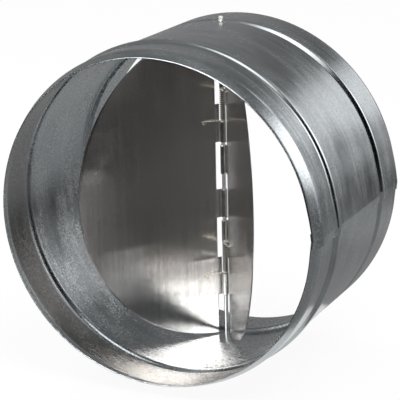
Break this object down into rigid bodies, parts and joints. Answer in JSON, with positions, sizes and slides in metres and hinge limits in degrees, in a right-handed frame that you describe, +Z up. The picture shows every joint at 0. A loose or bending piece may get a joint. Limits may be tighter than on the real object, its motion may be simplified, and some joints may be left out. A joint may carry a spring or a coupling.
{
  "type": "backdraft shutter",
  "caption": "Round spring-loaded butterfly backdraft shutter for a ventilation duct: a beaded sheet casing with two half-disc leaves on an upright axle.",
  "frame": {"origin": "on the duct's axis, midway between the two rims", "axes": "+Y along the duct from the outlet rim to the inlet rim, against the air flow; +Z up along the leaves' axle; +X right, seen from the outlet"},
  "size_m": [0.2024, 0.135, 0.2058],
  "materials": {
    "galvanised_sheet": "galvanised steel sheet with faint spangle and rolling marks",
    "axle_wire": "drawn bright steel wire",
    "aluminium_sheet": "mill-bright aluminium sheet, nearly a mirror",
    "spring_wire": "dark oiled spring steel"
  },
  "bodies": {
    "casing_body": {"casing_shell": "galvanised_sheet", "axle_rod": "axle_wire", "upper_spring": "spring_wire", "lower_spring": "spring_wire"},
    "left_leaf_body": {"left_leaf": "aluminium_sheet"},
    "right_leaf_body": {"right_leaf": "aluminium_sheet"}
  },
  "joints": [
    {"name": "left_leaf_hinge", "type": "hinge", "parent": "casing_body", "child": "left_leaf_body", "pos_m": [0, 0.03422, 0], "axis": [0, 0, 1], "range_deg": [-54, 31], "stiffness_Nm_per_rad": 0.006, "springref_deg": -114.02, "deforming": ["upper_spring", "lower_spring"]},
    {"name": "right_leaf_hinge", "type": "hinge", "parent": "casing_body", "child": "right_leaf_body", "pos_m": [0, 0.03422, 0], "axis": [0, 0, -1], "range_deg": [-57.4, 27.6], "stiffness_Nm_per_rad": 0.006, "springref_deg": -117.4, "deforming": ["upper_spring", "lower_spring"]}
  ]
}
